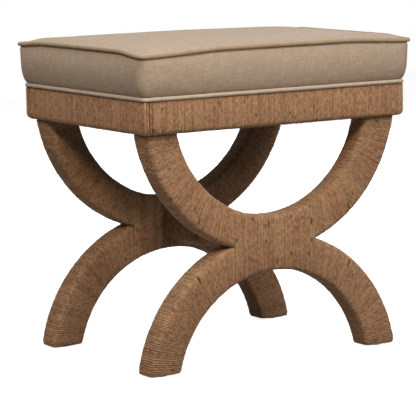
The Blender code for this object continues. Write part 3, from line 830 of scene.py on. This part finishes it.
def boxing_loop(share, inset):
    """A loop of the boxed side at a share of its height, set in from its face."""
    full = math.sin(math.pi * share**BELLY_LOW)
    soft = math.sin(math.pi * share)
    tuck = SEAM_TUCK * max(0.0, 1 - (1 - share) * SIDE_LOOPS)
    proud = lower_out + (seam_x - seat_x - lower_out) * share + BELLY * full - tuck - inset
    radius = LOWER_RADIUS + (SEAM_RADIUS - LOWER_RADIUS) * share + BELLY_RADIUS * soft
    outline = seam_outline(seat_x + proud, seat_y + proud, radius, DRAW_IN * share, count_x, count_y)
    height = box_bottom + (box_top - box_bottom) * share
    return [Vector((p.x, p.y, height - share * corner_drop(p))) for p in outline]


inner = boxing_loop(0.0, COVER)
foam_ring = add_ring([Vector((p.x, p.y, foam_low.z)) for p in inner])
hem_ring = add_ring(inner)
rings = [add_ring(boxing_loop(step / SIDE_LOOPS, 0.0)) for step in range(SIDE_LOOPS + 1)]
seam_flat = seam_outline(seam_x - piping / 4, seam_y - piping / 4, SEAM_RADIUS, DRAW_IN, count_x, count_y)
seam_ring = add_ring([crowned(p) for p in seam_flat])
for lower, upper in zip([foam_ring, hem_ring] + rings, [hem_ring] + rings + [seam_ring]):
    add_band(lower, upper)
add_panel(seam_ring, [[crowned(p) for p in row] for row in filled(seam_flat, count_x, count_y)], True)
flat_rows = filled([p.to_2d() for p in inner], count_x, count_y)
add_panel(foam_ring, [[Vector((p.x, p.y, foam_low.z)) for p in row] for row in flat_rows], False)
bm.verts.index_update()
held = [vert.index for vert in foam_ring + hem_ring + rings[0] + rings[-1] + seam_ring]
held += [vert.index for vert in bm.verts if vert.co.z < foam_low.z + COVER / 2]
bmesh.ops.recalc_face_normals(bm, faces=bm.faces[:])
for face in bm.faces:
    face.smooth = True
cushion_mesh = bpy.data.meshes.new("cushion")
bm.to_mesh(cushion_mesh)
bm.free()
cushion = bpy.data.objects.new("cushion", cushion_mesh)
bpy.context.scene.collection.objects.link(cushion)


def swell(piece, held, pressure, frames, cap):
    """Fills a cover like foam does: simulated pressure, with its seams held and its growth capped."""
    piece.vertex_groups.new(name="seams").add(sorted(set(held)), 1.0, "REPLACE")
    cloth = piece.modifiers.new("fill", "CLOTH")
    cloth.settings.vertex_group_mass = "seams"
    cloth.settings.use_pressure = True
    cloth.settings.uniform_pressure_force = pressure
    cloth.settings.effector_weights.gravity = 0
    cloth.settings.tension_stiffness = STRETCH_STIFFNESS
    cloth.settings.compression_stiffness = STRETCH_STIFFNESS
    cloth.settings.bending_stiffness = BEND_STIFFNESS
    cloth.collision_settings.use_collision = False
    scene = bpy.context.scene
    for step in range(1, frames + 1):
        scene.frame_set(step)
    graph = bpy.context.evaluated_depsgraph_get()
    filled_mesh = piece.evaluated_get(graph).to_mesh()
    for vert, moved in zip(piece.data.vertices, filled_mesh.vertices):
        shift = moved.co - vert.co
        vert.co += shift * min(1.0, cap / shift.length) if shift.length > 0 else shift
    piece.evaluated_get(graph).to_mesh_clear()
    piece.modifiers.remove(cloth)
    piece.vertex_groups.clear()
    scene.frame_set(1)


swell(cushion, held, PRESSURE, SWELL_FRAMES, SWELL_CAP)

# The cloth's own grid: the top is cut along the seat, and the boxing runs round it
cloth_map = cushion_mesh.uv_layers.new(name="cloth")
for face in cushion_mesh.polygons:
    for loop in face.loop_indices:
        spot = cushion_mesh.vertices[cushion_mesh.loops[loop].vertex_index].co
        if abs(face.normal.z) > TOP_FACING:
            cloth_map.data[loop].uv = (spot.x, spot.y)
        elif abs(face.normal.y) > abs(face.normal.x):
            cloth_map.data[loop].uv = (spot.x, spot.z)
        else:
            cloth_map.data[loop].uv = (spot.y, spot.z)


def make_weave():
    """A shader group of linen threads: their shade and their height, from a flat map in metres."""
    group = bpy.data.node_groups.new("linen_threads", "ShaderNodeTree")
    group.interface.new_socket("Map", in_out="INPUT", socket_type="NodeSocketVector")
    group.interface.new_socket("Thread", in_out="INPUT", socket_type="NodeSocketFloat")
    for name in ("Shade", "Height"):
        group.interface.new_socket(name, in_out="OUTPUT", socket_type="NodeSocketFloat")
    given = add(group, "NodeGroupInput").outputs
    density = {0: given["Map"], "Scale": calc(group, "DIVIDE", 1.0, given["Thread"])}
    per_thread = add(group, "ShaderNodeVectorMath", density, operation="SCALE").outputs[0]
    warp = cloudy(group, per_thread, (1, ALONG_THREAD, 1))
    weft = cloudy(group, per_thread, (ALONG_THREAD, 1, 1))
    thick_warp = cloudy(group, per_thread, (SLUB_ACROSS, SLUB_ALONG, 1))
    thick_weft = cloudy(group, per_thread, (SLUB_ALONG, SLUB_ACROSS, 1))
    slubs = calc(group, "MAXIMUM", thick_warp, thick_weft)
    threads = blended(group, 0.5, warp, weft)
    shade = blended(group, THREAD_SHARE, threads, slubs)
    split = add(group, "ShaderNodeSeparateXYZ", {0: per_thread}).outputs
    over = [calc(group, "SINE", calc(group, "MULTIPLY", part, math.pi)) for part in split[:2]]
    height = calc(group, "MULTIPLY_ADD", calc(group, "MULTIPLY", *over), CROSSING, threads)
    add(group, "NodeGroupOutput", {"Shade": shade, "Height": height})
    return group


weave = make_weave()


def make_linen(name, dark, pale, lay, sheen):
    """Linen woven from uneven threads; lay gives the flat map of the piece it covers."""
    material, tree, shader = new_material(
        name, Specular_IOR_Level=0.2, Sheen_Roughness=0.5, Sheen_Weight=sheen
    )
    threads = add(tree, "ShaderNodeGroup", node_tree=weave)
    tree.links.new(lay(tree), threads.inputs["Map"])
    threads.inputs["Thread"].default_value = THREAD
    place = add(tree, "ShaderNodeTexCoord").outputs["Object"]
    clouds = cloudy(tree, place, (1 / CLOUD,) * 3, 3.0)
    colour = mixed(tree, ranged(tree, threads.outputs["Shade"], 0.40, 0.63), dark, pale)
    colour = mixed(tree, ranged(tree, clouds, 0.35, 0.65, 0.0, CLOUDED), colour, dark)
    tree.links.new(colour, shader.inputs["Base Color"])
    tree.links.new(ranged(tree, threads.outputs["Shade"], 0.3, 0.7, 0.95, 0.8), shader.inputs["Roughness"])
    add_bump(tree, shader, threads.outputs["Height"], WEAVE_DEPTH, 0.5)
    return material


def on_cushion(tree):
    """The map of the panels, as they were cut."""
    return add(tree, "ShaderNodeAttribute", attribute_name="cloth").outputs["Vector"]


cushion_mesh.materials.append(make_linen("linen", FLAX, OATMEAL, on_cushion, LINEN_SHEEN))
finer = cushion.modifiers.new("finer", "SUBSURF")
finer.levels = 1
finer.render_levels = 1
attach(cushion, "root")
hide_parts("seat_foam", "seat_top_panel", "seat_boxing")


# Piping
# Both seams of the cushion are trimmed with a round cord in a bias-cut strip of linen, tan above and
# cream below. The upper one follows the sunken corners, and the lower one is nailed along the
# apron's top.

PIPING_SIDES = 12
PIPING_STEP = 0.003
PIPING_SETTLE = 0.0008
PIPING_FULL = 1.15
PIPING_TURN = 2
PIPING_WANDER = 0.00012
PIPING_WANDER_LENGTH = 0.03
PIPING_SEED = 3
PIPING_SHEEN = 0.2
CREAM = (0.57, 0.458, 0.357, 1)
SAND = (0.42, 0.323, 0.243, 1)
WHEAT = (0.43, 0.315, 0.195, 1)
UMBER = (0.28, 0.195, 0.112, 1)


def on_piping(tree):
    """The map of a strip cut at 45 degrees to the threads and sewn round a cord."""
    along = add(tree, "ShaderNodeAttribute", attribute_name="along").outputs["Fac"]
    ring = add(tree, "ShaderNodeAttribute", attribute_name="ring").outputs["Vector"]
    split = add(tree, "ShaderNodeSeparateXYZ", {0: ring}).outputs
    around = calc(tree, "MULTIPLY", calc(tree, "ARCTAN2", split[1], split[0]), piping / 2)
    flat = add(tree, "ShaderNodeCombineXYZ", {0: along, 1: around}).outputs[0]
    turn = {"Vector": flat, "Angle": math.pi / 4}
    return add(tree, "ShaderNodeVectorRotate", turn, rotation_type="Z_AXIS").outputs[0]


tan_linen = make_linen("piping_linen", UMBER, WHEAT, on_piping, PIPING_SHEEN)
cream_linen = make_linen("pale_piping_linen", SAND, CREAM, on_piping, PIPING_SHEEN)
lower_x, lower_y = lower_high.x - piping / 2, lower_high.y - piping / 2
lower_z = lower_low.z + piping / 2 - PIPING_SETTLE
trims = {
    "upper_piping": (seam_x, seam_y, SEAM_RADIUS, DRAW_IN, seam_z, tan_linen),
    "lower_piping": (lower_x, lower_y, LOWER_RADIUS, 0.0, lower_z, cream_linen),
}
for node, (half_x, half_y, radius, draw, height, finish) in trims.items():
    steps_x, steps_y = round(2 * half_x / PIPING_STEP), round(2 * half_y / PIPING_STEP)
    flat = seam_outline(half_x, half_y, radius, draw, steps_x, steps_y)
    sinks = node == "upper_piping"
    route = [Vector((p.x, p.y, height - (corner_drop(p) if sinks else 0.0))) for p in flat]
    trim = lay_cord(
        node + "_cord", route, [PIPING_FULL] * len(route), closed=True,
        Thickness=piping, Sides=PIPING_SIDES, Points_Per_Turn=PIPING_TURN, Wander=PIPING_WANDER,
        Wander_Length=PIPING_WANDER_LENGTH, Seed=PIPING_SEED, Finish=finish,
    )
    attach(trim, "root")
    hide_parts(node)


# Studio
# A paper floor, a plain surround and six soft lights: a warm one from the front left, two weaker ones
# from the front and the right, a strong one high up, and two cool ones from the left and from behind.
# The floor and the surround are white to the viewer and dull to the stool, so they hardly light it.

FLOOR_SIZE = 8.0
PAPER = (0.8, 0.8, 0.8, 1)
DULL_PAPER = (0.16, 0.16, 0.16, 1)
PAPER_GLOW = 0.89
WHITE = (1, 1, 1, 1)
SURROUND = (0.8, 0.9, 1.0, 1)
SURROUND_LIGHT = 0.01

# Each lamp's azimuth and elevation in degrees, its size, its power in watts and its colour
LAMP_DISTANCE = 3.2
LAMP_AIM = Vector((0, 0, 0.3))
LAMPS = {
    "main": (-45, 36, 0.6, 47, (1.0, 0.86, 0.70)),
    "right": (25, 30, 0.6, 25, (1.0, 0.95, 0.90)),
    "front": (0, 23, 0.6, 12, (1.0, 0.95, 0.90)),
    "high": (-20, 60, 0.8, 49, (0.91, 0.99, 1.0)),
    "left": (-95, 58.5, 0.8, 27, (0.92, 0.97, 1.0)),
    "back": (135, 10, 1.2, 40, (0.85, 0.93, 1.0)),
}


def to_viewer(tree):
    """1 where a surface is seen, straight, in a gloss or through glass, and 0 where it gives light."""
    path = add(tree, "ShaderNodeLightPath").outputs
    mirrored = calc(tree, "MAXIMUM", path["Is Glossy Ray"], path["Is Transmission Ray"])
    return calc(tree, "MAXIMUM", path["Is Camera Ray"], mirrored)


floor_mesh = bpy.data.meshes.new("floor")
bm = bmesh.new()
bmesh.ops.create_grid(bm, x_segments=1, y_segments=1, size=FLOOR_SIZE / 2)
bm.to_mesh(floor_mesh)
bm.free()
floor = bpy.data.objects.new("floor", floor_mesh)
bpy.context.scene.collection.objects.link(floor)
paper = bpy.data.materials.new("paper")
paper.use_nodes = True
tree = paper.node_tree
tree.nodes.clear()
dull = add(tree, "ShaderNodeBsdfDiffuse", {"Color": DULL_PAPER}).outputs[0]
lit = add(tree, "ShaderNodeBsdfDiffuse", {"Color": PAPER}).outputs[0]
glow = add(tree, "ShaderNodeEmission", {"Color": WHITE, "Strength": PAPER_GLOW}).outputs[0]
bright = add(tree, "ShaderNodeAddShader", {0: lit, 1: glow}).outputs[0]
shown = add(tree, "ShaderNodeMixShader", {0: to_viewer(tree), 1: dull, 2: bright}).outputs[0]
add(tree, "ShaderNodeOutputMaterial", {"Surface": shown})
floor_mesh.materials.append(paper)

world = bpy.data.worlds.new("studio")
bpy.context.scene.world = world
world.use_nodes = True
tree = world.node_tree
tree.nodes.clear()
dim = add(tree, "ShaderNodeBackground", {"Color": SURROUND, "Strength": SURROUND_LIGHT}).outputs[0]
white = add(tree, "ShaderNodeBackground", {"Color": WHITE, "Strength": 1.0}).outputs[0]
shown = add(tree, "ShaderNodeMixShader", {0: to_viewer(tree), 1: dim, 2: white}).outputs[0]
add(tree, "ShaderNodeOutputWorld", {"Surface": shown})


def towards(azimuth, elevation):
    """The direction of a place seen from the stool, in degrees; 0 is the front, and minus the left."""
    turn, rise = math.radians(azimuth), math.radians(elevation)
    return Vector((math.sin(turn) * math.cos(rise), -math.cos(turn) * math.cos(rise), math.sin(rise)))


for name, (azimuth, elevation, size, power, colour) in LAMPS.items():
    lamp = bpy.data.lights.new(name, "AREA")
    lamp.shape = "SQUARE"
    lamp.size = size
    lamp.energy = power
    lamp.color = colour
    box = bpy.data.objects.new(name, lamp)
    direction = towards(azimuth, elevation)
    box.location = LAMP_AIM + LAMP_DISTANCE * direction
    box.rotation_euler = direction.to_track_quat("Z", "Y").to_euler()
    bpy.context.scene.collection.objects.link(box)

# The viewer stands a little above the seat, to the left of the front
VIEW_AZIMUTH = -33.13
VIEW_ELEVATION = 7.92
VIEW_ROLL = -0.93
VIEW_DISTANCE = 3.8834
VIEW_ASIDE = -0.0119
VIEW_HEIGHT = 0.2230
VIEW_LENS = 209.46
VIEW_SENSOR = 36
camera = bpy.data.objects.new("camera", bpy.data.cameras.new("camera"))
camera.data.lens = VIEW_LENS
camera.data.sensor_width = VIEW_SENSOR
back = towards(VIEW_AZIMUTH, VIEW_ELEVATION)
level_right = Vector((0, 0, 1)).cross(back).normalized()
roll = Matrix.Rotation(math.radians(VIEW_ROLL), 3, back)
right, up = roll @ level_right, roll @ back.cross(level_right)
spot = Vector((0, 0, VIEW_HEIGHT)) + VIEW_ASIDE * right + VIEW_DISTANCE * back
camera.matrix_world = Matrix.Translation(spot) @ Matrix((right, up, back)).transposed().to_4x4()
bpy.context.scene.collection.objects.link(camera)
bpy.context.scene.camera = camera
bpy.context.scene.view_settings.view_transform = "Standard"
